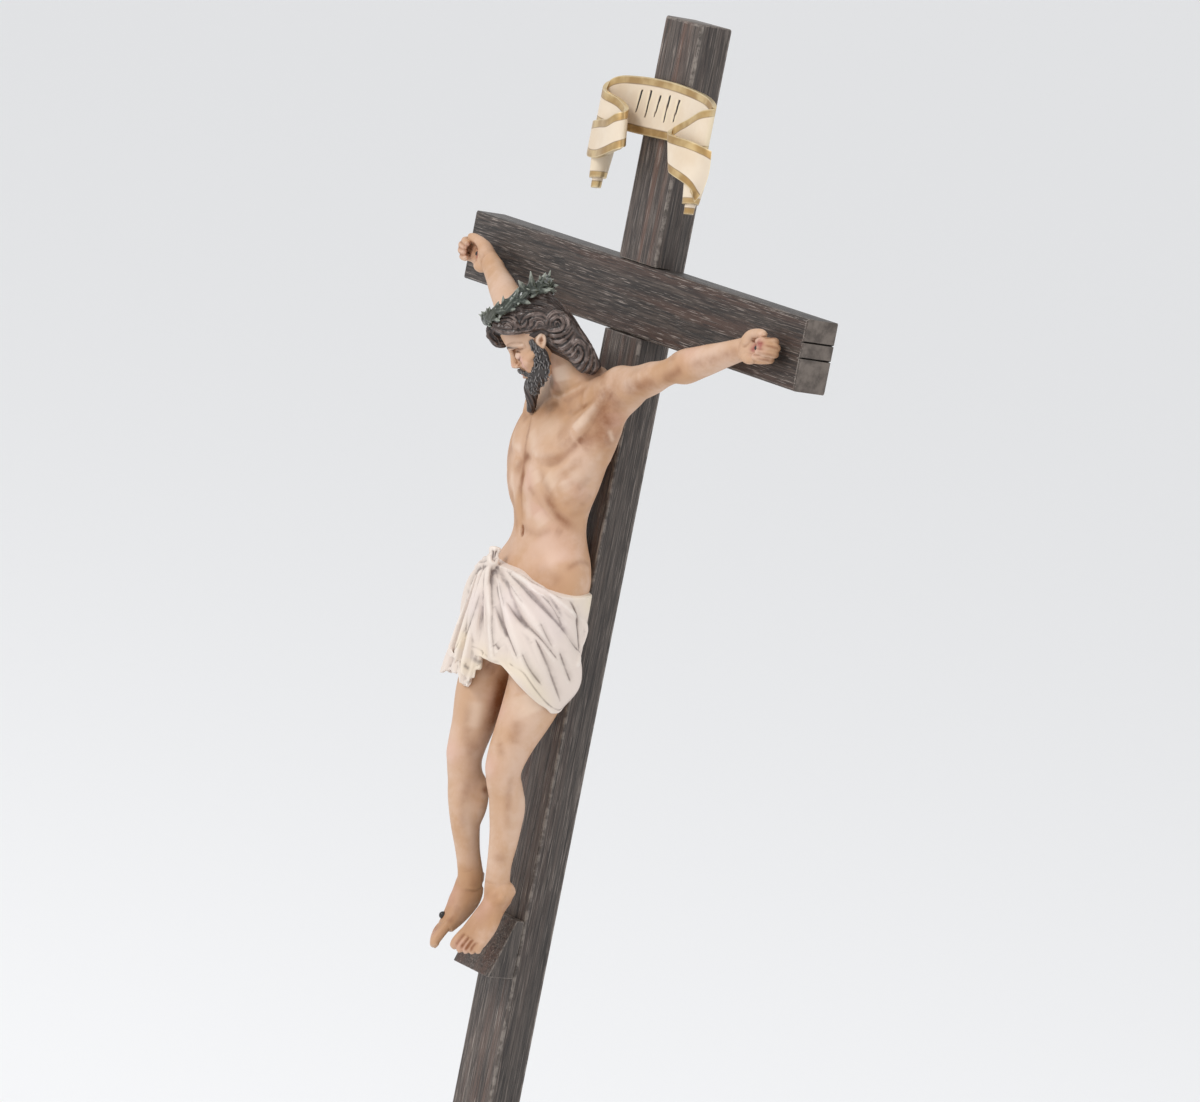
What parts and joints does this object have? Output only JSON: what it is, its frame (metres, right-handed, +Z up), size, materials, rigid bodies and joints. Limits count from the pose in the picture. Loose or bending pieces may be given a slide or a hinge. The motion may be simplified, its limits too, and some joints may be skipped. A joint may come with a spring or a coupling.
{
  "type": "wall crucifix",
  "caption": "dark wood-grained wall cross with a painted cast figure, white loincloth, crown of thorns, footrest and a cream title scroll",
  "frame": {"origin": "middle of the crossing of the two beams, on the flat back face that rests on the wall", "axes": "+X along the crossbeam to the viewer's right, +Y into the wall, +Z up along the upright; the figure faces -Y"},
  "size_m": [0.267, 0.0749, 0.514],
  "materials": {
    "dark_wood": "dark brown stain with raised grain, light dry-brushed lines and reddish worn patches",
    "painted_figure": "cast resin painted in skin tones with a brown wash, dark hair and off-white cloth",
    "cream_and_gold": "cast resin painted cream with antique gold edges"
  },
  "bodies": {
    "root": {"upright": "dark_wood", "crossbeam": "dark_wood", "footrest": "dark_wood", "title_scroll": "cream_and_gold", "corpus": "painted_figure"}
  },
  "joints": []
}
